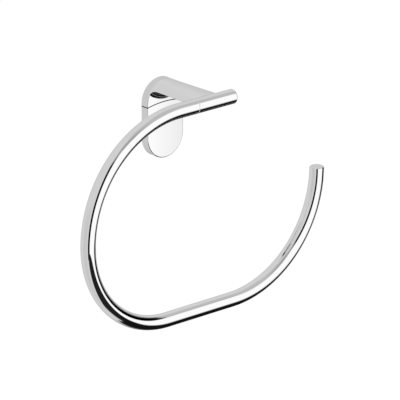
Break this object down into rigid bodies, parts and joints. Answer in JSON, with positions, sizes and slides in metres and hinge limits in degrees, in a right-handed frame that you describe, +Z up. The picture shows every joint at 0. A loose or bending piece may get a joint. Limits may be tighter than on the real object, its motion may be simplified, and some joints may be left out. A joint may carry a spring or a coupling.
{
  "type": "towel ring",
  "caption": "Open, rounded towel ring of round bar, carried by a flared arm on an upright rounded wall rosette.",
  "frame": {"origin": "middle of the bracket's back, on the wall", "axes": "+Y into the wall, +Z up, +X to the right of someone who faces the wall"},
  "size_m": [0.2495, 0.068, 0.182],
  "materials": {
    "chrome_plate": "polished chrome plating",
    "zinc_plate": "zinc-plated pressed steel",
    "screw_steel": "plain stainless steel, satin"
  },
  "bodies": {
    "root": {"bracket": "chrome_plate", "lower_cover": "chrome_plate", "ring_bar": "chrome_plate", "joining_stud": "screw_steel", "wall_plate": "zinc_plate", "fixing_screw": "screw_steel"}
  },
  "joints": []
}
